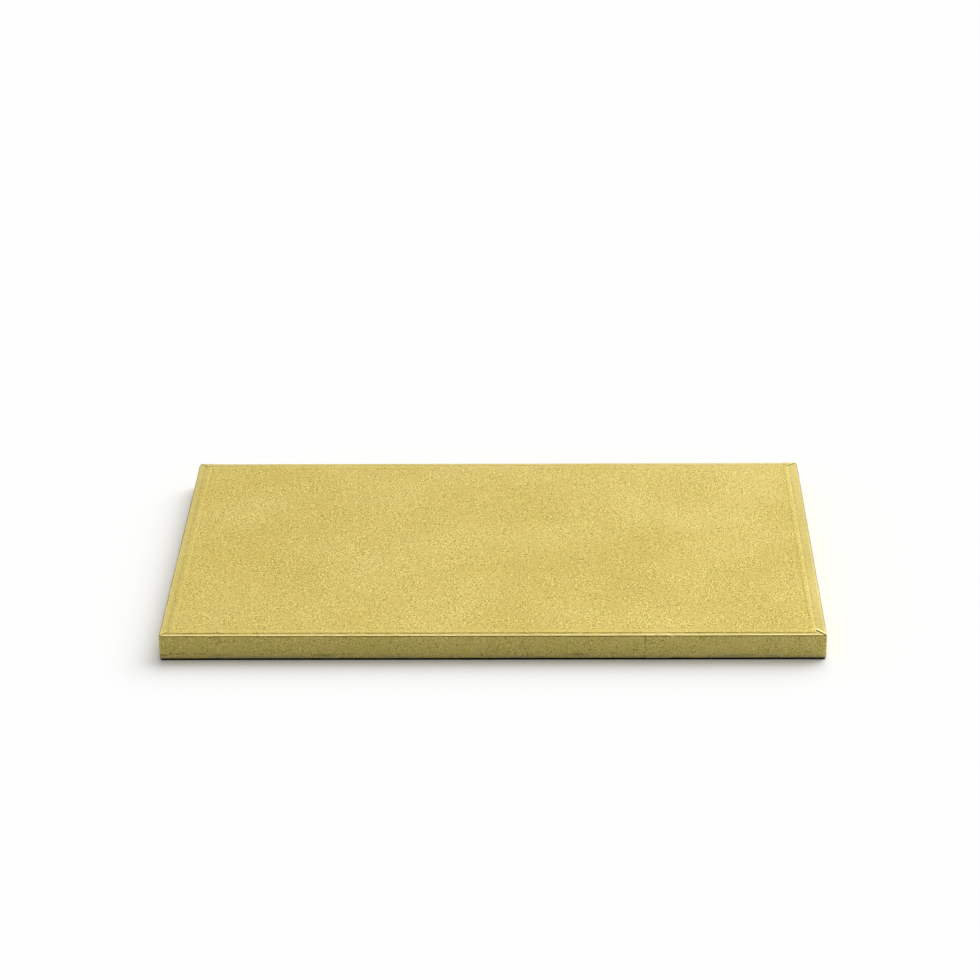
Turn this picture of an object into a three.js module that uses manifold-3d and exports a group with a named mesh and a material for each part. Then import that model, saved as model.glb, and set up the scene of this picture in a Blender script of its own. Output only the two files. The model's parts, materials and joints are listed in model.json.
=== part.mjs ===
// Rectangular cake board: a stiff pulp board core in gold foil paper.
// A strip of the paper runs round the four sides and is turned over on both faces, a flat sheet of
// the same paper covers the top, and plain backing paper covers the underside.
// Millimetres, +Z up, long side along X, front at -Y, origin at the middle of the underside.
import * as THREE from "three";
import { mergeVertices } from "three/addons/utils/BufferGeometryUtils.js";
import Module from "manifold-3d";

// The board
const LENGTH = 300;
const WIDTH = 200;
const THICKNESS = 12;
const CORNER_RADIUS = 1.6; // in plan, at the four upright edges
const TOP_ARRIS = 0.9; // radius where the strip turns over onto the top
const BOTTOM_ARRIS = 1.5;

// The papers
const FOIL = 0.2;
const BACKING = 0.25;
const FLANGE = 7; // how far the strip reaches over each face
const SHEET_CORNER = 0.5; // blunted corners of the two cut sheets
const GLUE = 0.05; // between the core and the strip round it

// The strip that each sheet leaves showing
const TOP_MARGIN = { left: 3.6, right: 4.8, front: 3.2, back: 4.0 };
const BASE_MARGIN = { left: 4.2, right: 3.8, front: 4.0, back: 4.0 };
const CUT_GAP = 0.3; // a sheet's cut edge to doubled paper in the margin beside it

// The lap on the front side, where the strip's ends meet
const LAP_X = 68.6; // the covering end's cut edge, from the middle of the board
const LAP_WIDTH = 10;
const LAP_SETTLE = 2; // over which the covering end comes down to the side again

// The pleats at the corners: doubled paper from the corner's crease to the edge it is folded to
const PLEAT_REACH = 7.2; // along that edge
const PLEAT_SLANT = 1.25; // how far the crease runs along the edge for each millimetre away from it
const PLEATS = [
  { x: -1, y: -1, along: "side" },
  { x: 1, y: -1, along: "side" },
  { x: 1, y: 1, along: "back" },
  { x: -1, y: 1, along: "back" },
];

// Facets of the rounded edges
const CORNER_STEPS = 4;
const ARRIS_STEPS = 6;

// Levels
const UNDER_TOP_SHEET = THICKNESS - FOIL;
const PROUD = 1; // a cutting or joining solid's reach past the surface that it crosses

const GOLD = new THREE.Color().setRGB(0.843, 0.761, 0.439, THREE.SRGBColorSpace);
const KRAFT_GREY = new THREE.Color().setRGB(0.6, 0.56, 0.5, THREE.SRGBColorSpace);
const OFF_WHITE = new THREE.Color().setRGB(0.88, 0.87, 0.84, THREE.SRGBColorSpace);

const wasm = await Module();
wasm.setup();

// A closed geometry as a solid that can be joined and cut.
function solid(geometry) {
  const bare = geometry.clone();
  bare.deleteAttribute("normal");
  bare.deleteAttribute("uv");
  const merged = mergeVertices(bare);
  return new wasm.Manifold(
    new wasm.Mesh({
      numProp: 3,
      vertProperties: merged.attributes.position.array,
      triVerts: new Uint32Array(merged.index.array),
    }),
  );
}

// A solid as a geometry with flat-shaded faces.
function geometryOf(body) {
  const mesh = body.getMesh();
  const shared = new THREE.BufferGeometry();
  const position = new THREE.BufferAttribute(new Float32Array(mesh.vertProperties), mesh.numProp);
  shared.setAttribute("position", position);
  shared.setIndex(new THREE.BufferAttribute(mesh.triVerts, 1));
  const faceted = shared.toNonIndexed();
  faceted.computeVertexNormals();
  return faceted;
}

// A rectangle with rounded corners, given by its four sides.
function roundedRectangle({ left, right, front, back }, radius) {
  const shape = new THREE.Shape();
  shape.absarc(right - radius, front + radius, radius, -Math.PI / 2, 0);
  shape.absarc(right - radius, back - radius, radius, 0, Math.PI / 2);
  shape.absarc(left + radius, back - radius, radius, Math.PI / 2, Math.PI);
  shape.absarc(left + radius, front + radius, radius, Math.PI, 1.5 * Math.PI);
  return shape;
}

// The board's plan, drawn in by the same amount all round, or by a margin for each side.
function plan({ left, right, front, back }) {
  return {
    left: -LENGTH / 2 + left,
    right: LENGTH / 2 - right,
    front: -WIDTH / 2 + front,
    back: WIDTH / 2 - back,
  };
}

function planInset(inset) {
  return plan({ left: inset, right: inset, front: inset, back: inset });
}

// A plate with square edges between two levels.
function plate(shape, bottom, top) {
  const geometry = new THREE.ExtrudeGeometry(shape, {
    depth: top - bottom,
    bevelEnabled: false,
    curveSegments: CORNER_STEPS,
  });
  return solid(geometry.translate(0, 0, bottom));
}

// A slab with one radius round both of its faces.
function roundedSlab(shape, bottom, top, arris) {
  const geometry = new THREE.ExtrudeGeometry(shape, {
    depth: top - bottom - 2 * arris,
    bevelEnabled: true,
    bevelThickness: arris,
    bevelSize: arris,
    bevelOffset: -arris,
    bevelSegments: ARRIS_STEPS,
    curveSegments: CORNER_STEPS,
  });
  return solid(geometry.translate(0, 0, bottom + arris));
}

// The body that the strip is wrapped on, its surface moved inwards by inset, or outwards if negative.
// Each face's arris comes from a slab that runs on past the other face.
function wrappedSlab(inset) {
  const shape = roundedRectangle(planInset(inset), CORNER_RADIUS - inset);
  const bottom = BACKING + inset;
  const top = UNDER_TOP_SHEET - inset;
  const upper = roundedSlab(shape, bottom - THICKNESS, top, TOP_ARRIS - inset);
  const lower = roundedSlab(shape, bottom, top + THICKNESS, BOTTOM_ARRIS - inset);
  return upper.intersect(lower);
}

// The place on each face that the strip's flanges leave open, with the core's pads in it.
function flangeWindow(inset, bottom, top) {
  return plate(roundedRectangle(planInset(FLANGE + inset), SHEET_CORNER), bottom, top);
}

// An upright prism over a closed outline of [x, y] points.
function prism(points, bottom, top) {
  const outline = points.map(([x, y]) => new THREE.Vector2(x, y));
  if (THREE.ShapeUtils.isClockWise(outline)) outline.reverse();
  return plate(new THREE.Shape(outline), bottom, top);
}

// The doubled paper of one corner's pleat, in the margin that its face's sheet leaves.
function pleat({ x, y, along }, margin, bottom, top) {
  const onSide = along === "side";
  const side = x < 0 ? margin.left : margin.right;
  const end = y < 0 ? margin.front : margin.back;
  const across = (onSide ? side : end) - CUT_GAP;
  const outline = [
    [0, 0],
    [across, across * PLEAT_SLANT],
    [across, PLEAT_REACH],
    [0, PLEAT_REACH],
  ];
  const place = ([away, run]) => {
    const [inX, inY] = onSide ? [away, run] : [run, away];
    return [x * (LENGTH / 2 - inX), y * (WIDTH / 2 - inY)];
  };
  return prism(outline.map(place), bottom, top);
}

// The lap's place in plan: a cut edge at one end, and settling onto the side at the other.
function lapPrism() {
  const level = -WIDTH / 2;
  const covered = LAP_X + LAP_WIDTH;
  const inside = level + TOP_MARGIN.front - CUT_GAP;
  const outline = [
    [LAP_X, level - PROUD],
    [covered, level - PROUD],
    [covered, level - FOIL],
    [covered + LAP_SETTLE, level],
    [covered + LAP_SETTLE, inside],
    [LAP_X, inside],
  ];
  return prism(outline, 0, THICKNESS);
}

// The gold paper strip: walls, two flanges, the lap and the corner pleats, as one skin.
function edgeStrip() {
  const doubled = wrappedSlab(-FOIL);
  const sunk = FOIL / 2;
  let body = wrappedSlab(0).add(doubled.intersect(lapPrism()));
  for (const corner of PLEATS) {
    const over = pleat(corner, TOP_MARGIN, UNDER_TOP_SHEET - sunk, THICKNESS);
    const under = pleat(corner, BASE_MARGIN, 0, BACKING + sunk);
    body = body.add(doubled.intersect(over)).add(doubled.intersect(under));
  }
  return body.subtract(wrappedSlab(FOIL)).subtract(flangeWindow(0, -PROUD, THICKNESS + PROUD));
}

// The stiff board, with the flanges pressed into both faces so that its pads reach the sheets.
function coreBoard() {
  return wrappedSlab(FOIL + GLUE).add(flangeWindow(CUT_GAP, BACKING, UNDER_TOP_SHEET));
}

function topSheet() {
  return plate(roundedRectangle(plan(TOP_MARGIN), SHEET_CORNER), UNDER_TOP_SHEET, THICKNESS);
}

function baseSheet() {
  return plate(roundedRectangle(plan(BASE_MARGIN), SHEET_CORNER), 0, BACKING);
}

function paper(color, roughness, metalness) {
  return new THREE.MeshStandardMaterial({ color, roughness, metalness });
}

function named(name, body, material) {
  const mesh = new THREE.Mesh(geometryOf(body), material);
  mesh.name = name;
  return mesh;
}

const goldFoil = paper(GOLD, 0.5, 0.7);
const cakeBoard = new THREE.Group();
cakeBoard.add(
  named("core_board", coreBoard(), paper(KRAFT_GREY, 0.9, 0)),
  named("edge_strip", edgeStrip(), goldFoil),
  named("top_sheet", topSheet(), goldFoil),
  named("base_sheet", baseSheet(), paper(OFF_WHITE, 0.85, 0)),
);

export default cakeBoard;
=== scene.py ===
"""A rectangular cake board in gold foil paper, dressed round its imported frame.

Metres, +Z up, the long side along X, the front side (where the edge strip laps) at -Y, and the
underside at zero. A pulp board core carries a wrapped edge strip, a flat top sheet and a backing sheet.
"""

import json
import logging
import math
from collections.abc import Callable, Iterator
from contextlib import contextmanager
from dataclasses import dataclass, field
from enum import Enum

import bmesh
import bpy
from mathutils import Matrix, Vector

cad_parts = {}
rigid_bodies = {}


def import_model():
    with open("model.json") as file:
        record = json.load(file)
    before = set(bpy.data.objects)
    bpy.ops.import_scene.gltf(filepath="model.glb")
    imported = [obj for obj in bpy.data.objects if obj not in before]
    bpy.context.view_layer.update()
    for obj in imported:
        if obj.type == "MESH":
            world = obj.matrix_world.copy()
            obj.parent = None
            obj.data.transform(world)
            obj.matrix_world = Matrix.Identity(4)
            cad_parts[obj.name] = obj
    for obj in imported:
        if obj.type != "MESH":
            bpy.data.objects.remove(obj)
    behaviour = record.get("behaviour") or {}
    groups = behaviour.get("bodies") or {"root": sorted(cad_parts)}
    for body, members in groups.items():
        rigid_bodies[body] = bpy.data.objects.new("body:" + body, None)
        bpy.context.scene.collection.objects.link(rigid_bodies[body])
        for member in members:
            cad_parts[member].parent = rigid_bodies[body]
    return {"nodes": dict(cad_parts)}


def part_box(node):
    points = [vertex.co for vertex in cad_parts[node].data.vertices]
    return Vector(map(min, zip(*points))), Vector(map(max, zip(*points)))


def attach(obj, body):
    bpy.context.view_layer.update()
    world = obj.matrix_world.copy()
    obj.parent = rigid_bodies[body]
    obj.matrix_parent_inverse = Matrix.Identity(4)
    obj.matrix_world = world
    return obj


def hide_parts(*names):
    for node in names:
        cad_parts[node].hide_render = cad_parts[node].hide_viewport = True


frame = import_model()

LOG = logging.getLogger("cake_board")
MM = 0.001
TINY = 1e-6
BODY = "root"
X_AXIS = Vector((1, 0, 0))
Y_AXIS = Vector((0, 1, 0))
SHARP_ANGLE = math.radians(35.0)

Socket = bpy.types.NodeSocket
Colour = tuple[float, float, float, float]
Coat = tuple[Colour, object]  # a colour, and how much of it shows
Spread = tuple[float, float, float, float]  # two values, and the results at them
Band = tuple[float, float, float]  # the middle, half of the width, and the fade at each side


class Element(Enum):
    """What is picked on a piece in edit mode."""

    VERTEX = "VERT"
    EDGE = "EDGE"
    FACE = "FACE"


class Face(Enum):
    """One of the board's two broad faces, by the sign of its normal along Z."""

    TOP = 1
    UNDER = -1


class Fold(Enum):
    """Which margin a corner pleat lies along."""

    SIDE = "side"
    BACK = "back"


class Workpiece:
    """A mesh on the bench, shaped in edit mode by operators on what is picked."""

    def __init__(self, obj: bpy.types.Object) -> None:
        """Takes up an object whose place is in its mesh.

        Args:
            obj: The mesh object to shape.
        """
        self.obj = obj

    @classmethod
    def block(cls, name: str, low: Vector, high: Vector) -> "Workpiece":
        """Starts a piece as a block between two corners.

        Args:
            name: The piece's name.
            low: Its lowest corner.
            high: Its highest corner.

        Returns:
            The new piece.
        """
        cls.clear_bench()
        bpy.ops.mesh.primitive_cube_add(size=1.0, location=(low + high) / 2, scale=high - low)
        return cls._settled(name)

    @classmethod
    def leaf(cls, name: str, low: Vector, high: Vector, cell: float) -> "Workpiece":
        """Starts a piece as a flat grid at the upper corner's height.

        Args:
            name: The piece's name.
            low: Its lowest corner in plan.
            high: Its highest corner, which gives the height.
            cell: The grid's spacing.

        Returns:
            The new piece.
        """
        cls.clear_bench()
        span = high - low
        middle = (low + high) / 2
        bpy.ops.mesh.primitive_grid_add(
            x_subdivisions=round(span.x / cell),
            y_subdivisions=round(span.y / cell),
            size=1.0,
            location=(middle.x, middle.y, high.z),
        )
        bpy.ops.transform.resize(value=(span.x, span.y, 1.0))
        return cls._settled(name)

    @classmethod
    def _settled(cls, name: str) -> "Workpiece":
        """Names the new primitive and moves its place into its mesh.

        Args:
            name: The piece's name.

        Returns:
            The new piece.
        """
        obj = bpy.context.object
        obj.name = name
        obj.data.name = name
        bpy.ops.object.transform_apply(location=True, rotation=True, scale=True)
        return cls(obj)

    @staticmethod
    def clear_bench() -> None:
        """Leaves edit mode and deselects everything."""
        if bpy.context.object and bpy.context.object.mode != "OBJECT":
            bpy.ops.object.mode_set(mode="OBJECT")
        bpy.ops.object.select_all(action="DESELECT")

    def take_up(self) -> None:
        """Makes this piece the only one selected."""
        self.clear_bench()
        self.obj.select_set(True)
        bpy.context.view_layer.objects.active = self.obj

    @contextmanager
    def in_hand(self) -> Iterator["Workpiece"]:
        """Holds the piece in edit mode for the length of a with block.

        Yields:
            The piece itself.
        """
        self.take_up()
        bpy.ops.object.mode_set(mode="EDIT")
        yield self
        bpy.ops.object.mode_set(mode="OBJECT")

    def pick(self, element: Element, test: Callable[..., bool]) -> int:
        """Selects only what passes a test.

        Args:
            element: Whether vertices, edges or faces are picked.
            test: Says of each whether it is picked.

        Returns:
            How many were picked.
        """
        bpy.ops.mesh.select_mode(type=element.value)
        bpy.ops.mesh.select_all(action="DESELECT")
        mesh = bmesh.from_edit_mesh(self.obj.data)
        kinds = {Element.VERTEX: mesh.verts, Element.EDGE: mesh.edges, Element.FACE: mesh.faces}
        picked = [item for item in kinds[element] if test(item)]
        for item in picked:
            item.select_set(True)
        mesh.select_flush_mode()
        bmesh.update_edit_mesh(self.obj.data)
        return len(picked)

    def cut(self, at: Vector, normal: Vector) -> None:
        """Cuts the picked faces along a plane.

        Args:
            at: A point on the plane.
            normal: The plane's normal.
        """
        bpy.ops.mesh.bisect(plane_co=at, plane_no=normal, threshold=TINY)

    def cut_round(self, half_length: float, half_width: float) -> None:
        """Cuts the whole piece along the four sides of an upright box round the middle.

        Args:
            half_length: How far the box reaches along X.
            half_width: How far it reaches along Y.
        """
        for sign in (-1, 1):
            for axis, half in ((X_AXIS, half_length), (Y_AXIS, half_width)):
                bpy.ops.mesh.select_all(action="SELECT")
                self.cut(axis * sign * half, axis)

    def rungs(self, axis: int, longer_than: float, cuts: int) -> None:
        """Divides every long edge that runs along one axis.

        Args:
            axis: 0, 1 or 2 for X, Y or Z.
            longer_than: The shortest edge that is divided.
            cuts: How many new points each edge gets.
        """

        def long_and_parallel(edge: bmesh.types.BMEdge) -> bool:
            """Says whether an edge runs along the axis and is long."""
            run = edge.verts[1].co - edge.verts[0].co
            return abs(run[axis]) > longer_than and abs(abs(run[axis]) - run.length) < TINY

        self.pick(Element.EDGE, long_and_parallel)
        bpy.ops.mesh.subdivide(number_cuts=cuts)

    def peel(self, name: str) -> "Workpiece":
        """Copies the picked faces off as a piece of their own.

        Args:
            name: The new piece's name.

        Returns:
            The new piece.
        """
        before = set(bpy.data.objects)
        bpy.ops.mesh.duplicate()
        bpy.ops.mesh.separate(type="SELECTED")
        (obj,) = set(bpy.data.objects) - before
        obj.name = name
        obj.data.name = name
        return Workpiece(obj)

    def weigh(self, group: str, weight: Callable[[Vector], float]) -> None:
        """Gives every vertex a weight worked out from its place.

        Args:
            group: The vertex group's name.
            weight: The weight at a point, from 0 to 1.
        """
        weights = self.obj.vertex_groups.new(name=group)
        for vertex in self.obj.data.vertices:
            weights.add([vertex.index], weight(vertex.co), "REPLACE")

    def finish_with(self, kind: str, **settings: object) -> None:
        """Adds a modifier and applies it.

        Args:
            kind: The modifier's type.
            **settings: What is set on it.
        """
        self.take_up()
        modifier = self.obj.modifiers.new(kind.title(), kind)
        for name, value in settings.items():
            setattr(modifier, name, value)
        bpy.ops.object.modifier_apply(modifier=modifier.name)

    def thicken(self, thickness: float) -> None:
        """Gives a skin its thickness, inwards from its outer face.

        Args:
            thickness: The paper's thickness.
        """
        self.finish_with("SOLIDIFY", thickness=thickness, offset=-1.0, use_quality_normals=True)

    def ripple(self, size: float, depth: float, group: str = "", direction: str = "NORMAL") -> None:
        """Presses soft random hollows into the piece, never above its surface.

        Args:
            size: How far apart the hollows lie.
            depth: How deep the deepest one is.
            group: The vertex group that limits them, or all of the piece.
            direction: The modifier's direction, such as NORMAL or Z.
        """
        texture = bpy.data.textures.new(f"{self.obj.name}_ripple", "CLOUDS")
        texture.noise_scale = size
        texture.noise_depth = 1
        self.finish_with(
            "DISPLACE",
            texture=texture,
            texture_coords="LOCAL",
            strength=depth,
            mid_level=1.0,
            direction=direction,
            vertex_group=group,
        )

    def smooth(self) -> None:
        """Shades the piece smooth, and leaves its sharp edges sharp."""
        self.take_up()
        bpy.ops.object.shade_smooth_by_angle(angle=SHARP_ANGLE)


@dataclass(frozen=True)
class BoardSizes:
    """The board's outline and levels, read from the frame, and sizes that several pieces share."""

    half_length: float
    half_width: float
    strip_bottom: float
    strip_top: float
    top: float
    sheet_low: Vector
    sheet_high: Vector
    backing_low: Vector
    backing_high: Vector
    top_arris: float = 0.9 * MM
    flange: float = 7.0 * MM
    lap_x: float = 68.6 * MM
    pleat_slant: float = 1.25

    @classmethod
    def from_frame(cls) -> "BoardSizes":
        """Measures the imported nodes.

        Returns:
            The board's sizes.
        """
        strip_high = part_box("edge_strip")[1]
        sheet_low, sheet_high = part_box("top_sheet")
        backing_low, backing_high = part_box("base_sheet")
        return cls(
            half_length=strip_high.x,
            half_width=strip_high.y,
            strip_bottom=backing_high.z,
            strip_top=sheet_low.z,
            top=sheet_high.z,
            sheet_low=sheet_low,
            sheet_high=sheet_high,
            backing_low=backing_low,
            backing_high=backing_high,
        )

    @property
    def foil(self) -> float:
        """The gold paper's thickness."""
        return self.top - self.strip_top


class Recipe:
    """A shader built up node by node round a Principled BSDF, on object coordinates."""

    def __init__(self, name: str) -> None:
        """Starts an empty material.

        Args:
            name: The material's name.
        """
        self.material = bpy.data.materials.new(name)
        self.material.use_nodes = True
        self.nodes = self.material.node_tree.nodes
        self.links = self.material.node_tree.links
        self.shader = self.nodes["Principled BSDF"]
        self.place = self.nodes.new("ShaderNodeTexCoord").outputs["Object"]

    def fill(self, socket: Socket, value: object) -> None:
        """Links a socket, or writes a plain value on it.

        Args:
            socket: The input socket.
            value: Another node's output socket, or a number or colour.
        """
        if isinstance(value, Socket):
            self.links.new(value, socket)
        else:
            socket.default_value = value

    def noise(
        self,
        size: float,
        detail: float = 2.0,
        roughness: float = 0.5,
        stretch: tuple[float, float, float] = (1.0, 1.0, 1.0),
    ) -> Socket:
        """Random grain of a given size.

        Args:
            size: The grain's size in metres.
            detail: How many finer layers it has.
            roughness: How strong the finer layers are.
            stretch: How many times longer the grain is along each axis.

        Returns:
            The grain, about 0.5 on average.
        """
        mapping = self.nodes.new("ShaderNodeMapping")
        self.links.new(self.place, mapping.inputs["Vector"])
        mapping.inputs["Scale"].default_value = [1.0 / part for part in stretch]
        node = self.nodes.new("ShaderNodeTexNoise")
        self.links.new(mapping.outputs["Vector"], node.inputs["Vector"])
        node.inputs["Scale"].default_value = 1.0 / size
        node.inputs["Detail"].default_value = detail
        node.inputs["Roughness"].default_value = roughness
        return node.outputs["Fac"]

    def axis(self, name: str) -> Socket:
        """One coordinate of the point.

        Args:
            name: X, Y or Z.

        Returns:
            The coordinate in metres.
        """
        node = self.nodes.new("ShaderNodeSeparateXYZ")
        self.links.new(self.place, node.inputs["Vector"])
        return node.outputs[name]

    def maths(self, operation: str, a: object, b: object = 0.0) -> Socket:
        """Does one sum on two values.

        Args:
            operation: The Math node's operation.
            a: The first value.
            b: The second value.

        Returns:
            The result.
        """
        node = self.nodes.new("ShaderNodeMath")
        node.operation = operation
        self.fill(node.inputs[0], a)
        self.fill(node.inputs[1], b)
        return node.outputs[0]

    def level(
        self, value: object, low: float, high: float, to_low: float = 0.0, to_high: float = 1.0
    ) -> Socket:
        """Spreads a range of values smoothly over another, held at both ends.

        Args:
            value: The value to spread.
            low: Where the spread starts.
            high: Where it ends.
            to_low: The result at the start.
            to_high: The result at the end.

        Returns:
            The spread value.
        """
        node = self.nodes.new("ShaderNodeMapRange")
        node.interpolation_type = "SMOOTHSTEP"
        sockets = ("Value", "From Min", "From Max", "To Min", "To Max")
        for name, setting in zip(sockets, (value, low, high, to_low, to_high)):
            self.fill(node.inputs[name], setting)
        return node.outputs["Result"]

    def product(self, *values: object) -> Socket:
        """Multiplies several values.

        Args:
            *values: The values.

        Returns:
            Their product.
        """
        total = values[0]
        for value in values[1:]:
            total = self.maths("MULTIPLY", total, value)
        return total

    def band(self, value: object, middle: float, half: float, soft: float) -> Socket:
        """Marks where a value lies in a narrow band.

        Args:
            value: The value.
            middle: The band's middle.
            half: Half of the band's width.
            soft: The width over which each side fades.

        Returns:
            1 in the band and 0 outside it.
        """
        away = self.maths("ABSOLUTE", self.maths("SUBTRACT", value, middle))
        return self.level(away, half, half + soft, 1.0, 0.0)

    def halves(self, name: str, low: float, high: float, soft: float = 1.0 * MM) -> Socket:
        """Gives each half of the board a value of its own.

        Args:
            name: X or Y, the axis along which the halves lie.
            low: The value on the lower half.
            high: The value on the upper half.
            soft: How far from the middle the change starts and ends.

        Returns:
            The value at a point.
        """
        return self.level(self.axis(name), -soft, soft, low, high)

    def inset(self, name: str, half: float) -> Socket:
        """How far a point lies in from the board's nearer side along one axis.

        Args:
            name: X or Y.
            half: Half of the board's size along it.

        Returns:
            The distance in metres.
        """
        return self.maths("SUBTRACT", half, self.maths("ABSOLUTE", self.axis(name)))

    def outside(self, name: str, low: float, high: float) -> Socket:
        """How far a point lies outside a span, or inside it if negative.

        Args:
            name: X or Y.
            low: The span's lower end.
            high: Its upper end.

        Returns:
            The distance in metres.
        """
        at = self.axis(name)
        return self.maths("MAXIMUM", self.maths("SUBTRACT", low, at), self.maths("SUBTRACT", at, high))

    def blend(self, a: object, b: object, factor: object) -> Socket:
        """Goes from one colour to another.

        Args:
            a: The colour at factor 0.
            b: The colour at factor 1.
            factor: How far to go.

        Returns:
            The blended colour.
        """
        node = self.nodes.new("ShaderNodeMix")
        node.data_type = "RGBA"
        self.fill(node.inputs["Factor"], factor)
        self.fill(node.inputs["A"], a)
        self.fill(node.inputs["B"], b)
        return node.outputs["Result"]

    def coats(self, colour: object, *coats: Coat) -> Socket:
        """Lays coats of colour one over another.

        Args:
            colour: The colour under them.
            *coats: The coats, the lowest first.

        Returns:
            The colour with its coats.
        """
        for tone, share in coats:
            colour = self.blend(colour, tone, share)
        return colour

    def bump(self, height: object, depth: float) -> Socket:
        """Tilts the surface by a height.

        Args:
            height: The height, from 0 to 1.
            depth: How deep a height of 1 is, in metres.

        Returns:
            The tilted normal.
        """
        node = self.nodes.new("ShaderNodeBump")
        node.inputs["Distance"].default_value = depth
        self.fill(node.inputs["Height"], height)
        return node.outputs["Normal"]

    def serve(self, **inputs: object) -> bpy.types.Material:
        """Fills the shader's sockets.

        Args:
            **inputs: A value for each socket, spaces in its name written as underscores.

        Returns:
            The finished material.
        """
        for name, value in inputs.items():
            self.fill(self.shader.inputs[name.replace("_", " ")], value)
        return self.material


@dataclass(frozen=True)
class GoldFoilPaper:
    """Gold foil laminated on paper, with a fine random emboss that has a painted highlight on its high
    points and painted shade in its hollows.
    """

    sizes: BoardSizes
    name: str = "gold_foil_paper"
    plain: Colour = (0.48, 0.37, 0.069, 1.0)
    bright: Colour = (0.76, 0.625, 0.152, 1.0)
    dark: Colour = (0.21, 0.147, 0.012, 1.0)
    warm: Colour = (0.5, 0.366, 0.086, 1.0)
    metallic: float = 0.32
    specular: float = 0.2
    grain: float = 0.6 * MM
    grain_depth: float = 0.045 * MM
    fleck: float = 1.1 * MM
    patch: float = 9.0 * MM
    warm_patch: float = 14.4 * MM
    cloud: float = 45.0 * MM
    # Painted light: how much brighter the foil is painted towards the +X end, and where that starts, as
    # a share of the half length
    painted_light_gain: float = 0.06
    painted_light_start: float = -0.2
    embossed: Spread = (0.36, 0.6, 0.45, 1.0)
    matt: Spread = (0.7, 1.3, 0.46, 0.62)
    warmed: Spread = (0.45, 0.7, 0.0, 0.5)
    # Painted highlight on the emboss's high points and painted shade in its hollows, by their height
    raised: Spread = (0.01, 0.11, 0.0, 1.0)
    sunk: Spread = (-0.01, -0.1, 0.0, 0.9)
    bright_flecks: Spread = (0.7, 0.78, 0.0, 0.8)
    dark_flecks: Spread = (0.3, 0.22, 0.0, 0.9)

    def make(self) -> bpy.types.Material:
        """Builds the finish.

        Returns:
            Its material.
        """
        recipe = Recipe(self.name)
        grain = recipe.noise(self.grain, detail=1.5, roughness=0.65)
        patch = recipe.level(recipe.noise(self.patch, detail=1.0), *self.embossed)
        colour = self.mark(recipe, self.speckle(recipe, grain, patch))
        cloud = recipe.noise(self.cloud, detail=1.0)
        shine = self.shine(recipe)
        return recipe.serve(
            Base_Color=colour,
            Metallic=recipe.product(shine, self.metallic),
            Roughness=recipe.level(recipe.maths("ADD", grain, cloud), *self.matt),
            Specular_IOR_Level=recipe.product(shine, self.specular),
            Normal=recipe.bump(recipe.product(grain, patch), self.grain_depth),
        )

    def speckle(self, recipe: Recipe, grain: Socket, patch: Socket) -> Socket:
        """Colours the bare foil: random bright and dark flecks, warmer patches, a painted highlight on
        the emboss's high points and painted shade in its hollows, and painted light that brightens it
        towards the +X end.

        Args:
            recipe: The shader being built.
            grain: The emboss.
            patch: How strong the emboss is.

        Returns:
            The foil's colour.
        """
        end = self.sizes.half_length
        height = recipe.product(recipe.maths("SUBTRACT", grain, 0.5), patch)
        flecks = recipe.noise(self.fleck, detail=0.0)
        return recipe.coats(
            self.plain,
            (self.warm, recipe.level(recipe.noise(self.warm_patch, detail=2.0), *self.warmed)),
            # Painted light, brightening the foil towards the +X end
            (self.bright, recipe.level(recipe.axis("X"), self.painted_light_start * end, end, 0.0, self.painted_light_gain)),
            # Painted highlight on the emboss's high points, then painted shade in its hollows
            (self.bright, recipe.level(height, *self.raised)),
            (self.dark, recipe.level(height, *self.sunk)),
            (self.bright, recipe.level(flecks, *self.bright_flecks)),
            (self.dark, recipe.level(flecks, *self.dark_flecks)),
        )

    def shine(self, recipe: Recipe) -> object:
        """How much of its shine the foil has: all of it, everywhere.

        Args:
            recipe: The shader being built.

        Returns:
            The share, from 0 to 1.
        """
        return 1.0

    def mark(self, recipe: Recipe, colour: Socket) -> Socket:
        """Adds marks of handling, and painted highlights and shade where the paper is folded; plain
        paper has none.

        Args:
            recipe: The shader being built.
            colour: The foil's colour.

        Returns:
            The marked colour.
        """
        return colour


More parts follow.
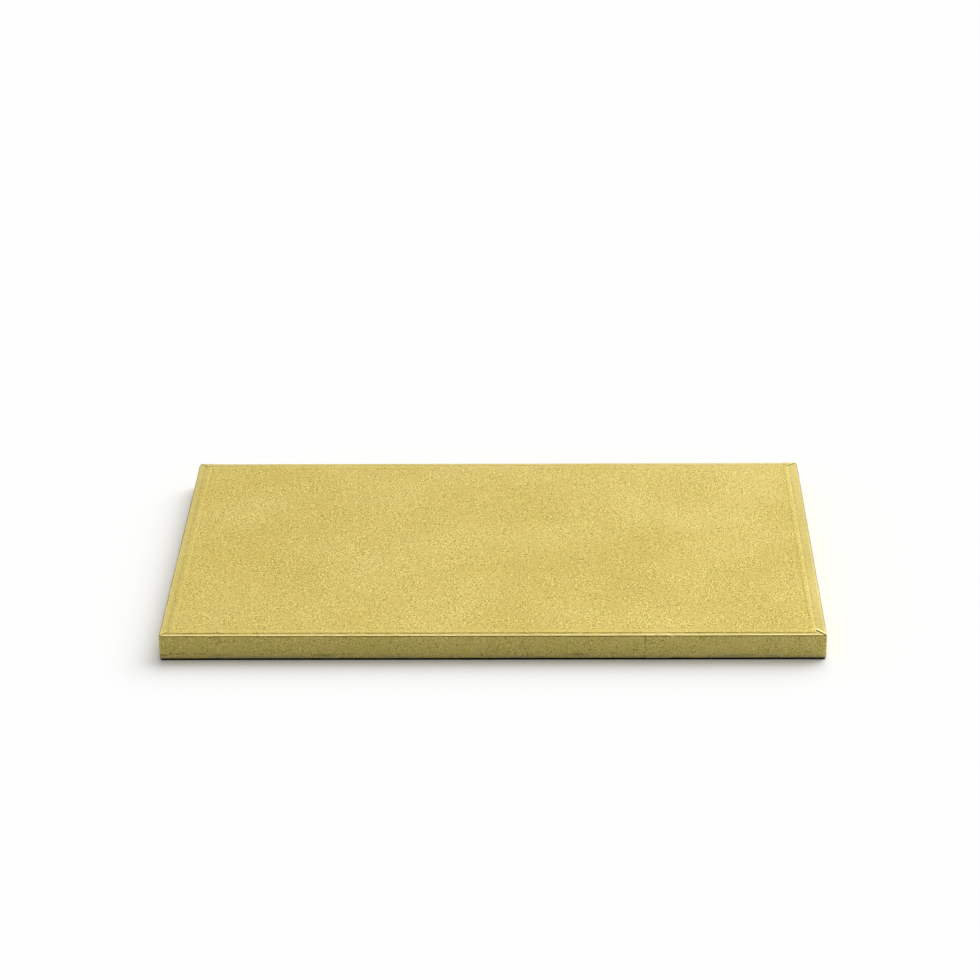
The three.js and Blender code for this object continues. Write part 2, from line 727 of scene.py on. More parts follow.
@dataclass(frozen=True)
class StripPaper(GoldFoilPaper):
    """The gold paper of the edge strip, with painted highlights on its folded edges and painted shade in
    its creases, at its seam and on its foot.
    """

    name: str = "gold_strip_paper"
    grain: float = 0.5 * MM
    # Stronger painted light towards the +X end on the strip, for its sides
    painted_light_gain: float = 0.45
    plain: Colour = (0.535, 0.45, 0.117, 1.0)
    bright: Colour = (0.75, 0.635, 0.2, 1.0)
    dark: Colour = (0.3, 0.24, 0.043, 1.0)
    warm: Colour = (0.59, 0.46, 0.165, 1.0)
    margin: Colour = (0.46, 0.352, 0.076, 1.0)
    # The dark colour of the painted shade lines under the fold, along the sheet's cut edge, in the
    # creases and at the seam, and of the scuffed line near the foot
    line: Colour = (0.1, 0.072, 0.006, 1.0)
    # Painted shade of the paper turned under the board
    foot: Colour = (0.02, 0.014, 0.003, 1.0)
    scuff: Colour = (0.36, 0.33, 0.24, 1.0)
    # Painted highlight, on the folded top edge and on the pleats' folded edges
    painted_highlight: Colour = (0.96, 0.86, 0.38, 1.0)
    wobble: float = 0.45 * MM
    wobble_size: float = 11.0 * MM
    break_size: float = 3.2 * MM
    shiny: Spread = (0.55 * MM, 0.8 * MM, 0.0, 1.0)
    side_depth: Spread = (0.35 * MM, 0.55 * MM, 1.0, 0.0)
    # Rises from the strip's top, and the reach inwards, as shares of the arris
    top_rise: Spread = (-0.34, -0.2, 0.0, 1.0)
    ridge_rise: Spread = (-0.16, -0.06, 0.0, 1.0)
    ridge_reach: Spread = (1.0, 1.5, 1.0, 0.0)
    fold_rise: float = -0.28
    # Painted shade lines: half of the width and the fade at each side, and where they and the painted
    # highlight are broken
    fold_shade_line: tuple[float, float] = (0.14 * MM, 0.18 * MM)
    fold_shade_parts: Spread = (0.35, 0.6, 0.65, 0.97)
    seam_shade_line: tuple[float, float] = (0.14 * MM, 0.15 * MM)
    seam_depth: tuple[float, float] = (0.6 * MM, 0.3 * MM)
    seam_parts: Spread = (0.4, 0.58, 0.12, 0.72)
    highlight_parts: Spread = (0.3, 0.6, 0.15, 0.58)
    # The margin and the painted highlight on the folded edge, on the ends, the long sides and the back,
    # as shares
    end_dullness: float = 0.58
    side_dullness: float = 0.5
    end_highlight: float = 0.4
    back_highlight: float = 0.3
    # The painted shadow along the top sheet's cut edge
    cut_shadow_fade: Spread = (0.5 * MM, 1.3 * MM, 1.0, 0.0)
    cut_parts: Spread = (0.36, 0.6, 0.08, 0.62)
    end_cut: float = 0.35
    # The corners' creases: painted shade in the groove and a painted highlight on the lip, fainter at
    # the left and back
    corner_reach: Spread = (6.5 * MM, 7.5 * MM, 1.0, 0.0)
    groove_shade: Band = (-0.55 * MM, 0.5 * MM, 0.3 * MM)
    groove_shade_share: float = 0.9
    lip_highlight: Band = (0.85 * MM, 0.65 * MM, 0.3 * MM)
    lip_highlight_share: float = 0.85
    left_crease: float = 0.25
    back_crease: float = 0.3
    # The foot: scuffs, and the painted shade where the paper turns under
    rub_size: float = 2.2 * MM
    rub_stretch: tuple[float, float, float] = (6.0, 6.0, 1.0)
    scuff_line: Band = (1.5 * MM, 0.3 * MM, 0.5 * MM)
    scuff_parts: Spread = (0.4, 0.6, 0.1, 0.65)
    low_line: Band = (2.5 * MM, 0.2 * MM, 0.8 * MM)
    low_parts: Spread = (0.5, 0.68, 0.0, 0.55)
    curl_height: Spread = (0.62 * MM, 0.86 * MM, 0.97, 0.0)
    curl_depth: Spread = (0.6 * MM, 0.9 * MM, 1.0, 0.0)

    def shine(self, recipe: Recipe) -> object:
        """How much of its shine the foil has: none where it is turned under the foot, which is painted
        as shade.

        Args:
            recipe: The shader being built.

        Returns:
            The share, from 0 to 1.
        """
        return recipe.level(recipe.axis("Z"), *self.shiny)

    def mark(self, recipe: Recipe, colour: Socket) -> Socket:
        """Paints highlights on the folded edges, and shade in the creases, along the seam and on the
        foot.

        Args:
            recipe: The shader being built.
            colour: The foil's colour.

        Returns:
            The marked colour.
        """
        return recipe.coats(colour, *StripMarks(self, recipe).all())


class StripMarks:
    """The marks on the edge strip, as coats over its foil: scuffs, and painted highlights and shade at
    its folds, creases, seam and foot.
    """

    def __init__(self, paper: StripPaper, recipe: Recipe) -> None:
        """Works out what the marks go by at each point of the strip.

        Args:
            paper: The strip's paper, which sizes the marks.
            recipe: The shader being built.
        """
        s = paper.sizes
        self.paper = paper
        self.recipe = recipe
        self.in_x = recipe.inset("X", s.half_length)
        self.in_y = recipe.inset("Y", s.half_width)
        self.edge = recipe.maths("MINIMUM", self.in_x, self.in_y)
        self.long_side = recipe.maths("GREATER_THAN", self.in_x, self.in_y)
        uneven = recipe.maths("SUBTRACT", recipe.noise(paper.wobble_size, detail=2.0), 0.5)
        self.sway = recipe.product(uneven, paper.wobble)
        self.height = recipe.maths("ADD", recipe.axis("Z"), self.sway)
        from_top = recipe.maths("SUBTRACT", self.height, s.strip_top)
        self.rise = recipe.maths("DIVIDE", from_top, s.top_arris)
        self.broken = recipe.noise(paper.break_size, detail=2.0, roughness=0.6)
        self.on_top = recipe.level(self.rise, *paper.top_rise)
        self.on_side = recipe.level(self.edge, *paper.side_depth)

    def all(self) -> list[Coat]:
        """Every mark, the lowest first."""
        return [*self.folds(), self.cut_edge(), *self.creases(), self.seam(), *self.underfoot()]

    def folds(self) -> list[Coat]:
        """Dulls the margin, paints a highlight on the folded edge and paints shade in a line just below
        it.

        Returns:
            The coats.
        """
        paper, recipe, s = self.paper, self.recipe, self.paper.sizes
        dulled = recipe.level(self.long_side, 0.0, 1.0, paper.end_dullness, paper.side_dullness)
        # Painted highlight along the folded top edge, broken up, weaker at the ends and the back
        painted_highlight = recipe.product(
            recipe.level(self.rise, *paper.ridge_rise),
            recipe.level(recipe.maths("DIVIDE", self.edge, s.top_arris), *paper.ridge_reach),
            recipe.level(self.long_side, 0.0, 1.0, paper.end_highlight, 1.0),
            recipe.halves("Y", 1.0, paper.back_highlight),
            recipe.level(self.broken, *paper.highlight_parts),
        )
        # Painted shade in a line just under the folded top edge
        line = recipe.band(self.height, s.strip_top + paper.fold_rise * s.top_arris, *paper.fold_shade_line)
        parts = recipe.level(self.broken, *paper.fold_shade_parts)
        return [
            (paper.margin, recipe.product(self.on_top, dulled)),
            (paper.painted_highlight, painted_highlight),
            (paper.line, recipe.product(line, self.on_side, parts)),
        ]

    def cut_edge(self) -> Coat:
        """Paints the shadow of the top sheet's cut edge on the strip, less at the two ends.

        Returns:
            The coat.
        """
        paper, recipe = self.paper, self.recipe
        low, high = paper.sizes.sheet_low, paper.sizes.sheet_high
        at_end = recipe.outside("X", low.x, high.x)
        at_side = recipe.outside("Y", low.y, high.y)
        line = recipe.level(recipe.maths("MAXIMUM", at_end, at_side), *paper.cut_shadow_fade)
        shade = recipe.level(recipe.maths("GREATER_THAN", at_side, at_end), 0.0, 1.0, paper.end_cut, 1.0)
        parts = recipe.level(self.broken, *paper.cut_parts)
        return paper.line, recipe.product(line, shade, self.on_top, parts)

    def creases(self) -> list[Coat]:
        """Paints shade in each corner's crease, with a painted highlight on the pleat's folded edge
        beside it.

        Returns:
            The coats.
        """
        paper, recipe, slant = self.paper, self.recipe, self.paper.sizes.pleat_slant
        at_front = recipe.maths("SUBTRACT", self.in_y, recipe.product(self.in_x, slant))
        at_back = recipe.maths("SUBTRACT", self.in_x, recipe.product(self.in_y, slant))
        back = recipe.maths("GREATER_THAN", recipe.axis("Y"), 0.0)
        change = recipe.product(back, recipe.maths("SUBTRACT", at_back, at_front))
        beside = recipe.maths("ADD", at_front, change)
        crease = recipe.product(
            self.on_top,
            recipe.level(recipe.maths("MAXIMUM", self.in_x, self.in_y), *paper.corner_reach),
            # The painted shade and highlight are fainter at the left and back corners
            recipe.halves("X", paper.left_crease, 1.0),
            recipe.halves("Y", 1.0, paper.back_crease),
        )
        return [
            (paper.painted_highlight, recipe.product(recipe.band(beside, *paper.lip_highlight), crease, paper.lip_highlight_share)),
            (paper.line, recipe.product(recipe.band(beside, *paper.groove_shade), crease, paper.groove_shade_share)),
        ]

    def seam(self) -> Coat:
        """Paints a line of shade along the lap's cut edge down the front side.

        Returns:
            The coat.
        """
        paper, recipe, s = self.paper, self.recipe, self.paper.sizes
        line = recipe.band(recipe.maths("ADD", recipe.axis("X"), self.sway), s.lap_x, *paper.seam_shade_line)
        on_front = recipe.level(recipe.axis("Y"), *(depth - s.half_width for depth in paper.seam_depth))
        return paper.line, recipe.product(line, on_front, recipe.level(self.broken, *paper.seam_parts))

    def underfoot(self) -> list[Coat]:
        """Scuffs the strip's lower edge and paints the paper that is turned under it near black, as the
        shade of the gap under the board.

        Returns:
            The coats.
        """
        paper, recipe = self.paper, self.recipe
        rubbed = recipe.noise(paper.rub_size, detail=2.0, stretch=paper.rub_stretch)
        scuff, low_line = (
            recipe.product(recipe.band(self.height, *line), self.on_side, recipe.level(rubbed, *parts))
            for line, parts in ((paper.scuff_line, paper.scuff_parts), (paper.low_line, paper.low_parts))
        )
        # Painted shade on the paper turned under the board
        curl = recipe.product(
            recipe.level(self.height, *paper.curl_height), recipe.level(self.edge, *paper.curl_depth)
        )
        return [(paper.scuff, scuff), (paper.line, low_line), (paper.foot, curl)]


@dataclass(frozen=True)
class SheetPaper(GoldFoilPaper):
    """The gold paper of the flat top sheet, with painted glints on its raised cut edge, and the flange
    showing through as a painted highlight and painted shade along its step.
    """

    name: str = "gold_sheet_paper"
    # Painted glints along the rim
    rim_fade: Spread = (-0.9 * MM, -0.2 * MM, 0.0, 1.0)
    glint_size: float = 1.6 * MM
    rim_glints: Spread = (0.48, 0.62, 0.0, 0.45)
    # Measured inwards from the flange's edge
    flange_highlight: Spread = (-0.5 * MM, 0.0, 0.1, 0.0)
    step_shade: Band = (0.1 * MM, 0.15 * MM, 0.5 * MM)
    step_break: float = 4.0 * MM
    step_parts: Spread = (0.4, 0.65, 0.05, 0.3)

    def mark(self, recipe: Recipe, colour: Socket) -> Socket:
        """Paints glints on the rim, a highlight on the raised margin, and shade along the step inside
        it.

        Args:
            recipe: The shader being built.
            colour: The foil's colour.

        Returns:
            The marked colour.
        """
        s = self.sizes
        outside = recipe.maths(
            "MAXIMUM",
            recipe.outside("X", s.sheet_low.x, s.sheet_high.x),
            recipe.outside("Y", s.sheet_low.y, s.sheet_high.y),
        )
        edge = recipe.maths("MINIMUM", recipe.inset("X", s.half_length), recipe.inset("Y", s.half_width))
        past = recipe.maths("SUBTRACT", edge, s.flange)
        rim_glints = recipe.level(recipe.noise(self.glint_size, detail=1.0), *self.rim_glints)
        broken = recipe.level(recipe.noise(self.step_break, detail=2.0), *self.step_parts)
        return recipe.coats(
            colour,
            (self.bright, recipe.product(rim_glints, recipe.level(outside, *self.rim_fade))),
            # Painted highlight over the margin that lies on the flange
            (self.bright, recipe.level(past, *self.flange_highlight)),
            # Painted shade along the step inside the flange
            (self.dark, recipe.product(recipe.band(past, *self.step_shade), broken)),
        )


@dataclass(frozen=True)
class BackingPaper:
    """Uncoated off-white paper with fibres and faint mottling."""

    name: str = "backing_paper"
    plain: Colour = (0.72, 0.7, 0.64, 1.0)
    fibre: Colour = (0.5, 0.47, 0.4, 1.0)
    fibre_size: float = 0.35 * MM
    fibre_stretch: tuple[float, float, float] = (5.0, 1.0, 1.0)
    fibre_depth: float = 0.02 * MM
    fibres: Spread = (0.55, 0.8, 0.0, 0.6)
    mottle: float = 14.0 * MM
    mottled: Spread = (0.45, 0.8, 0.0, 0.3)
    matt: Spread = (0.3, 0.7, 0.78, 0.9)

    def make(self) -> bpy.types.Material:
        """Builds the finish.

        Returns:
            Its material.
        """
        recipe = Recipe(self.name)
        fibres = recipe.noise(self.fibre_size, detail=2.0, stretch=self.fibre_stretch)
        mottle = recipe.noise(self.mottle, detail=2.0)
        colour = recipe.coats(
            self.plain,
            (self.fibre, recipe.level(fibres, *self.fibres)),
            (self.fibre, recipe.level(mottle, *self.mottled)),
        )
        return recipe.serve(
            Base_Color=colour,
            Roughness=recipe.level(mottle, *self.matt),
            Normal=recipe.bump(fibres, self.fibre_depth),
        )


@dataclass(frozen=True)
class PulpBoard:
    """Grey-brown board pressed from waste paper."""

    name: str = "pulp_board"
    plain: Colour = (0.32, 0.27, 0.21, 1.0)
    fleck: Colour = (0.14, 0.11, 0.08, 1.0)
    fleck_size: float = 1.2 * MM
    flecks: Spread = (0.55, 0.75, 0.0, 1.0)
    layer: float = 0.9 * MM
    layer_stretch: tuple[float, float, float] = (40.0, 40.0, 1.0)
    layers: Spread = (0.5, 0.8, 0.0, 0.4)
    matt: Spread = (0.3, 0.7, 0.82, 0.95)
    depth: float = 0.06 * MM

    def make(self) -> bpy.types.Material:
        """Builds the finish.

        Returns:
            Its material.
        """
        recipe = Recipe(self.name)
        flecks = recipe.noise(self.fleck_size, detail=3.0, roughness=0.7)
        layers = recipe.noise(self.layer, detail=1.0, stretch=self.layer_stretch)
        colour = recipe.coats(
            self.plain,
            (self.fleck, recipe.level(flecks, *self.flecks)),
            (self.fleck, recipe.level(layers, *self.layers)),
        )
        return recipe.serve(
            Base_Color=colour,
            Roughness=recipe.level(flecks, *self.matt),
            Normal=recipe.bump(recipe.maths("ADD", flecks, layers), self.depth),
        )


@dataclass
class GluedPaper:
    """Paper that is glued on the board and stands for one of its nodes."""

    sizes: BoardSizes
    node: str = ""
    slot: str = ""
    pieces: list[Workpiece] = field(default_factory=list)

    def dress(self, finish: GoldFoilPaper | BackingPaper) -> None:
        """Puts the paper's finish on its pieces, and fixes them to the board.

        Args:
            finish: The finish.
        """
        material = finish.make()
        for piece in self.pieces:
            piece.obj.data.materials.clear()
            piece.obj.data.materials.append(material)
            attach(piece.obj, BODY)
            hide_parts(self.node)


@dataclass
class EdgeStrip(GluedPaper):
    """The gold strip round the four sides, turned over on both faces, with its lap and pleats."""

    node: str = "edge_strip"
    slot: str = "gold_strip"
    corner_radius: float = 1.6 * MM
    bottom_arris: float = 1.5 * MM
    fold_segments: int = 6
    squareness: float = 0.62
    corner_cell: float = 1.0 * MM
    long_edge: float = 5.0 * MM
    rung_counts: tuple[tuple[int, ...], ...] = ((2, 47), (2, 30), (7,))  # along X, Y and Z
    lap_width: float = 10.0 * MM
    lap_settle: float = 2.0 * MM
    lap_steps: int = 4
    lap_cut_reach: float = 5.0 * MM
    corners: tuple[tuple[int, int, Fold], ...] = (
        (-1, -1, Fold.SIDE),
        (1, -1, Fold.SIDE),
        (1, 1, Fold.BACK),
        (-1, 1, Fold.BACK),
    )
    pleat_reach: float = 7.2 * MM
    cut_gap: float = 0.3 * MM
    wall_ripple: float = 0.16 * MM
    least_ripple: float = 0.15
    ripple_size: float = 9.0 * MM
    dents: tuple[float, ...] = (80.5 * MM, -128.0 * MM)
    dent_width: float = 1.1 * MM
    dent_push: tuple[float, float, float] = (0.0, 0.14 * MM, -0.22 * MM)

    def build(self) -> list[Workpiece]:
        """Wraps the strip, then lays the doubled paper of the lap and pleats on it.

        Returns:
            The strip's pieces.
        """
        strip = self.wrap()
        self.pieces = [strip, self.lap(strip)]
        for face in Face:
            for x, y, fold in self.corners:
                self.pieces.append(self.pleat(strip, face, x, y, fold))
        for piece in self.pieces:
            piece.thicken(self.sizes.foil)
            piece.smooth()
        return self.pieces

    def wrap(self) -> Workpiece:
        """Shapes the strip as one skin with rounded edges and two open faces.

        Returns:
            The skin.
        """
        s = self.sizes
        low = Vector((-s.half_length, -s.half_width, s.strip_bottom))
        high = Vector((s.half_length, s.half_width, s.strip_top))
        strip = Workpiece.block("gold_edge_strip", low, high)
        with strip.in_hand():
            strip.pick(Element.EDGE, lambda e: abs(e.verts[0].co.z - e.verts[1].co.z) > TINY)
            bpy.ops.mesh.bevel(offset=self.corner_radius, segments=self.fold_segments, affect="EDGES")
            for level, radius in ((s.strip_top, s.top_arris), (s.strip_bottom, self.bottom_arris)):
                strip.pick(Element.EDGE, lambda e: all(abs(v.co.z - level) < TINY for v in e.verts))
                bpy.ops.mesh.bevel(
                    offset=radius, segments=self.fold_segments, profile=self.squareness, affect="EDGES"
                )
            self.open_faces(strip)
            for axis, counts in enumerate(self.rung_counts):
                for cuts in counts:
                    strip.rungs(axis, self.long_edge, cuts)
            for at in self.dents:
                self.dent(strip, at)
        strip.weigh("walls", self.wall_share)
        strip.ripple(self.ripple_size, self.wall_ripple, "walls")
        return strip

    def dent(self, strip: Workpiece, at: float) -> None:
        """Knocks a small dent into the front top edge.

        Args:
            strip: The skin, in hand.
            at: The dent's place along X.
        """
        point = Vector((at, -self.sizes.half_width, self.sizes.strip_top))
        strip.pick(Element.VERTEX, lambda v: (v.co - point).length < self.dent_width)
        bpy.ops.transform.translate(
            value=self.dent_push,
            use_proportional_edit=True,
            proportional_edit_falloff="SMOOTH",
            proportional_size=self.dent_width,
        )

    def open_faces(self, strip: Workpiece) -> None:
        """Grids the flanges and their corners, and cuts the middle out of both broad faces.

        Args:
            strip: The skin, in hand.
        """
        s = self.sizes
        first_row = math.ceil(self.corner_radius / self.corner_cell)
        last_row = round(s.flange / self.corner_cell)
        for row in range(first_row, last_row + 1):
            inset = row * self.corner_cell
            strip.cut_round(s.half_length - inset, s.half_width - inset)

        def in_window(face: bmesh.types.BMFace) -> bool:
            """Says whether a face lies in the middle of a broad face."""
            middle = face.calc_center_median()
            inside_x = abs(middle.x) < s.half_length - s.flange
            return inside_x and abs(middle.y) < s.half_width - s.flange

        strip.pick(Element.FACE, in_window)
        bpy.ops.mesh.delete(type="FACE")

    def wall_share(self, at: Vector) -> float:
        """How freely the skin may ripple at a point: all on the sides, little on the flanges.

        Args:
            at: The point.

        Returns:
            A share from 0 to 1.
        """
        s = self.sizes
        outside = max(abs(at.x) - s.half_length, abs(at.y) - s.half_width)
        return max(self.least_ripple, 1.0 + outside / s.top_arris)

    def lap(self, strip: Workpiece) -> Workpiece:
        """Lays the strip's covering end over its other end, on the front side.

        Args:
            strip: The skin under it.

        Returns:
            The covering end.
        """
        s = self.sizes
        covered = s.lap_x + self.lap_width
        settled = covered + self.lap_settle
        inner = s.sheet_low.y - self.cut_gap
        stops = [covered + self.lap_settle * step / self.lap_steps for step in range(self.lap_steps + 1)]

        def near(face: bmesh.types.BMFace) -> bool:
            """Says whether a face is on the front side round the lap."""
            middle = face.calc_center_median()
            beside = s.lap_x - self.lap_cut_reach < middle.x < settled + self.lap_cut_reach
            return beside and middle.y < s.flange - s.half_width

        def under(face: bmesh.types.BMFace) -> bool:
            """Says whether the covering end lies on a face."""
            middle = face.calc_center_median()
            return middle.y < inner and s.lap_x < middle.x < settled

        with strip.in_hand():
            for stop in (s.lap_x, *stops):
                strip.pick(Element.FACE, near)
                strip.cut(X_AXIS * stop, X_AXIS)
            strip.pick(Element.FACE, near)
            strip.cut(Y_AXIS * inner, Y_AXIS)
            strip.pick(Element.FACE, under)
            end = strip.peel("strip_lap")
        end.weigh("laid_over", lambda at: 1.0 - max(0.0, at.x - covered) / self.lap_settle)
        end.finish_with("DISPLACE", strength=s.foil, mid_level=0.0, vertex_group="laid_over")
        return end

    def pleat(self, strip: Workpiece, face: Face, x: int, y: int, fold: Fold) -> Workpiece:
        """Lays the doubled paper of one corner's pleat.

        Args:
            strip: The skin under it.
            face: The broad face that it lies on.
            x: The corner's side along X, -1 or 1.
            y: The corner's side along Y, -1 or 1.
            fold: The margin that it lies along.

        Returns:
            The pleat.
        """
        s = self.sizes
        on_top = face is Face.TOP
        low, high = (s.sheet_low, s.sheet_high) if on_top else (s.backing_low, s.backing_high)
        side = s.half_length + low.x if x < 0 else s.half_length - high.x
        end = s.half_width + low.y if y < 0 else s.half_width - high.y
        across = (side if fold is Fold.SIDE else end) - self.cut_gap

        def from_corner(at: Vector) -> tuple[float, float]:
            """A point's way in from the margin's edge, and its way along it from the corner."""
            in_x = s.half_length - x * at.x
            in_y = s.half_width - y * at.y
            return (in_x, in_y) if fold is Fold.SIDE else (in_y, in_x)

        def from_plan(away: float, run: float) -> Vector:
            """The point that lies so far in and so far along."""
            in_x, in_y = (away, run) if fold is Fold.SIDE else (run, away)
            return Vector((x * (s.half_length - in_x), y * (s.half_width - in_y), 0))

        level = s.strip_top - s.top_arris if on_top else s.strip_bottom + self.bottom_arris

        def near(item: bmesh.types.BMFace) -> bool:
            """Says whether a face is in this corner, on or above the rounded edge."""
            middle = item.calc_center_median()
            away, run = from_corner(middle)
            beyond = (middle.z - level) * face.value > 0
            return beyond and away < s.flange and run < s.flange + self.pleat_reach

        def under(item: bmesh.types.BMFace) -> bool:
            """Says whether the pleat lies on a face."""
            away, run = from_corner(item.calc_center_median())
            return near(item) and away < across and away * s.pleat_slant < run < self.pleat_reach

        corner = from_plan(0, 0)
        crease = from_plan(across, across * s.pleat_slant) - corner
        along = from_plan(0, self.pleat_reach) - corner
        inward = from_plan(across, 0) - corner
        with strip.in_hand():
            for at, normal in (
                (corner, Vector((-crease.y, crease.x, 0))),
                (corner + along, along),
                (corner + inward, inward),
            ):
                strip.pick(Element.FACE, near)
                strip.cut(at, normal.normalized())
            strip.pick(Element.FACE, under)
            across_name = "right" if x > 0 else "left"
            along_name = "back" if y > 0 else "front"
            paper = strip.peel(f"pleat_{face.name.lower()}_{along_name}_{across_name}")
        paper.finish_with("DISPLACE", strength=s.foil * face.value, mid_level=0.0, direction="Z")
        return paper


@dataclass
class TopSheet(GluedPaper):
    """The flat gold sheet on the top, pressed down inside the strip's turned-over margin."""

    node: str = "top_sheet"
    slot: str = "gold_sheet"
    cell: float = 2.0 * MM
    step_width: float = 1.2 * MM
    step_depth: float = 0.06 * MM
    step_cuts: tuple[float, ...] = (-0.5, -0.17, 0.17, 0.5)  # as shares of the step's width
    cockle: float = 0.05 * MM
    cockle_size: float = 38.0 * MM
    rim: float = 0.05 * MM
    rim_segments: int = 2
    flat: float = 0.9  # a face whose normal rises more than this lies flat
    upright: float = 0.3  # and one whose normal rises less than this stands up

    def build(self) -> list[Workpiece]:
        """Lays the sheet, with the strip's flange showing through it as a faint step.

        Returns:
            The sheet.
        """
        s = self.sizes
        sheet = Workpiece.leaf("gold_top_sheet", s.sheet_low, s.sheet_high, self.cell)
        with sheet.in_hand():
            for share in self.step_cuts:
                inset = s.flange + share * self.step_width
                sheet.cut_round(s.half_length - inset, s.half_width - inset)
        sheet.weigh("pressed", self.pressed)
        sheet.finish_with(
            "DISPLACE", strength=-self.step_depth, mid_level=0.0, direction="Z", vertex_group="pressed"
        )
        sheet.ripple(self.cockle_size, self.cockle, direction="Z")
        sheet.thicken(s.foil)
        with sheet.in_hand():
            sheet.pick(Element.EDGE, self.on_rim)
            bpy.ops.mesh.bevel(offset=self.rim, segments=self.rim_segments, affect="EDGES")
        sheet.smooth()
        self.pieces = [sheet]
        return self.pieces

    def pressed(self, at: Vector) -> float:
        """How far the sheet is pressed down at a point.

        Args:
            at: The point.

        Returns:
            0 over the flange and 1 inside it.
        """
        s = self.sizes
        inside = min(s.half_length - abs(at.x), s.half_width - abs(at.y))
        share = (inside - s.flange) / self.step_width + 0.5
        share = min(1.0, max(0.0, share))
        return share * share * (3.0 - 2.0 * share)

    def on_rim(self, edge: bmesh.types.BMEdge) -> bool:
        """Says whether an edge is on the sheet's upper cut edge.

        Args:
            edge: The edge.

        Returns:
            True on the rim.
        """
        if len(edge.link_faces) != 2:
            return False
        up = [face.normal.z for face in edge.link_faces]
        return max(up) > self.flat and min(up) < self.upright


@dataclass
class BackingSheet(GluedPaper):
    """The plain paper that closes the underside."""

    node: str = "base_sheet"
    slot: str = "backing_paper"
    cell: float = 3.0 * MM

    def build(self) -> list[Workpiece]:
        """Lays the sheet on the underside.

        Returns:
            The sheet.
        """
        s = self.sizes
        sheet = Workpiece.leaf("paper_backing_sheet", s.backing_low, s.backing_high, self.cell)
        sheet.thicken(s.backing_high.z - s.backing_low.z)
        sheet.smooth()
        self.pieces = [sheet]
        return self.pieces


@dataclass
class CoreBoard:
    """The pulp board inside, which keeps the frame's own solid."""

    node: str = "core_board"

    def dress(self, finish: PulpBoard) -> None:
        """Puts the pulp board's finish on the solid.

        Args:
            finish: The board's finish.
        """
        solid = frame["nodes"][self.node]
        material = finish.make()
        for place in solid.material_slots:
            place.material = material


@dataclass(frozen=True)
class SweepPaper:
    """White studio paper that keeps the object's shadow, with a painted shadow under the board, seen
    through from below.
    """

    sizes: BoardSizes
    name: str = "sweep_paper"
    seen: Colour = (1.0, 1.0, 1.0, 1.0)
    bounced: Colour = (0.64, 0.64, 0.64, 1.0)
    # Painted shadow on the floor under the board, from just inside its sides
    covered: Colour = (0.05, 0.042, 0.027, 1.0)
    tuck: float = 0.3 * MM
    tuck_fade: float = 0.6 * MM

    def make(self) -> bpy.types.Material:
        """Builds the finish, with a painted shadow in the gap under the board, and open to rays from
        below.

        Returns:
            Its material.
        """
        recipe = Recipe(self.name)
        s = self.sizes
        in_x, in_y = recipe.inset("X", s.half_length), recipe.inset("Y", s.half_width)
        inset = recipe.maths("MINIMUM", in_x, in_y)
        under = recipe.level(inset, self.tuck, self.tuck + self.tuck_fade)
        white = recipe.blend(self.bounced, self.seen, seen_ray(recipe.material.node_tree))
        back = recipe.nodes.new("ShaderNodeNewGeometry").outputs["Backfacing"]
        passed = recipe.nodes.new("ShaderNodeLightPath").outputs["Transparent Depth"]
        from_below = recipe.maths("MAXIMUM", back, passed)
        return recipe.serve(
            Base_Color=recipe.blend(white, self.covered, under),
            Roughness=1.0,
            Specular_IOR_Level=0.0,
            Alpha=recipe.level(from_below, 0.0, 1.0, 1.0, 0.0),
        )


def seen_ray(tree: bpy.types.NodeTree) -> Socket:
    """Tells the rays that show the background from the ones that light the object.

    Args:
        tree: The tree to add the nodes to.

    Returns:
        1 on a camera, glossy or transmission ray, and 0 on any other.
    """
    path = tree.nodes.new("ShaderNodeLightPath")
    total = path.outputs["Is Camera Ray"]
    for name in ("Is Glossy Ray", "Is Transmission Ray"):
        node = tree.nodes.new("ShaderNodeMath")
        node.operation = "MAXIMUM"
        tree.links.new(total, node.inputs[0])
        tree.links.new(path.outputs[name], node.inputs[1])
        total = node.outputs[0]
    return total


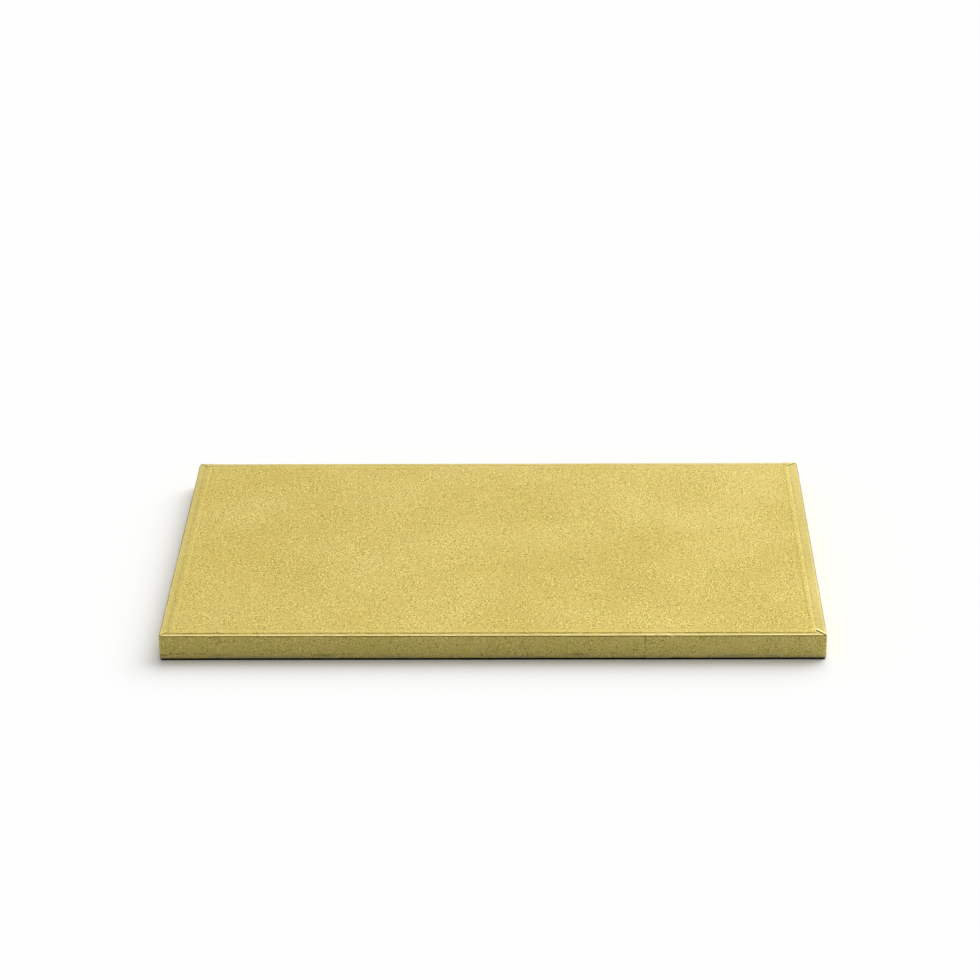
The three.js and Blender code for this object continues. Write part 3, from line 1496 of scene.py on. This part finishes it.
@dataclass
class Studio:
    """The floor, the light and the camera."""

    sizes: BoardSizes
    floor_size: float = 30.0
    floor_gap: float = 0.35 * MM
    ambient: float = 0.43
    key_strength: float = 2.5
    key_elevation: float = 45.0
    key_azimuth: float = 31.0
    key_spread: float = 60.0
    focal_length: float = 124.0
    sensor: float = 36.0
    clip_start: float = 0.01
    clip_end: float = 100.0
    camera_at: tuple[float, float, float] = (0.0253, -1.46376, 0.66824)
    yaw: float = -1.0774
    pitch: float = 23.2244
    roll: float = -0.5578

    def build(self) -> None:
        """Sets up the studio."""
        self.lay_floor()
        self.hang_key()
        self.whiten_room()
        self.place_camera()
        bpy.context.scene.view_settings.view_transform = "Standard"

    def lay_floor(self) -> None:
        """Lays the white sweep that the board stands on."""
        Workpiece.clear_bench()
        bpy.ops.mesh.primitive_plane_add(size=self.floor_size, location=(0, 0, -self.floor_gap))
        floor = bpy.context.object
        floor.name = "studio_floor"
        floor.data.materials.append(SweepPaper(self.sizes).make())

    def hang_key(self) -> None:
        """Hangs a broad soft key light behind and to the right."""
        Workpiece.clear_bench()
        bpy.ops.object.light_add(type="SUN")
        key = bpy.context.object
        key.name = "key_light"
        key.data.energy = self.key_strength
        key.data.angle = math.radians(self.key_spread)
        azimuth, elevation = math.radians(self.key_azimuth), math.radians(self.key_elevation)
        level = math.cos(elevation)
        towards = Vector((math.sin(azimuth) * level, math.cos(azimuth) * level, math.sin(elevation)))
        key.rotation_euler = towards.to_track_quat("Z", "Y").to_euler()

    def whiten_room(self) -> None:
        """Makes an even white room, which lights the board less than it shows behind it."""
        world = bpy.data.worlds.new("white_room")
        bpy.context.scene.world = world
        world.use_nodes = True
        tree = world.node_tree
        background = tree.nodes["Background"]
        background.inputs["Color"].default_value = (1.0, 1.0, 1.0, 1.0)
        strength = tree.nodes.new("ShaderNodeMapRange")
        strength.inputs["To Min"].default_value = self.ambient
        strength.inputs["To Max"].default_value = 1.0
        tree.links.new(seen_ray(tree), strength.inputs["Value"])
        tree.links.new(strength.outputs["Result"], background.inputs["Strength"])

    def place_camera(self) -> None:
        """Stands the camera where it looks at the board as it was photographed."""
        yaw, pitch, roll = (math.radians(angle) for angle in (self.yaw, self.pitch, self.roll))
        reach = math.cos(pitch)
        ahead = Vector((math.sin(yaw) * reach, math.cos(yaw) * reach, -math.sin(pitch)))
        level = Vector((math.cos(yaw), -math.sin(yaw), 0))
        above = level.cross(ahead)
        right = level * math.cos(roll) + above * math.sin(roll)
        up = above * math.cos(roll) - level * math.sin(roll)
        data = bpy.data.cameras.new("camera")
        data.lens = self.focal_length
        data.sensor_width = self.sensor
        data.clip_start = self.clip_start
        data.clip_end = self.clip_end
        camera = bpy.data.objects.new("camera", data)
        bpy.context.scene.collection.objects.link(camera)
        turn = Matrix((right, up, -ahead)).transposed().to_4x4()
        camera.matrix_world = Matrix.Translation(self.camera_at) @ turn
        bpy.context.scene.camera = camera


def report(pieces: list[Workpiece]) -> None:
    """Logs each piece's name and size.

    Args:
        pieces: The pieces.
    """
    for piece in pieces:
        spans = ", ".join(f"{span / MM:.2f}" for span in piece.obj.dimensions)
        LOG.info("%s: %s mm, %d faces", piece.obj.name, spans, len(piece.obj.data.polygons))


def main() -> None:
    """Builds the board on its frame, dresses it and sets up the studio."""
    logging.basicConfig(level=logging.INFO, format="%(name)s: %(message)s")
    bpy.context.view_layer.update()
    sizes = BoardSizes.from_frame()
    CoreBoard().dress(PulpBoard())
    strip = EdgeStrip(sizes)
    report(strip.build())
    strip.dress(StripPaper(sizes))
    sheet = TopSheet(sizes)
    report(sheet.build())
    sheet.dress(SheetPaper(sizes))
    backing = BackingSheet(sizes)
    report(backing.build())
    backing.dress(BackingPaper())
    Studio(sizes).build()


if __name__ == "__main__":
    main()
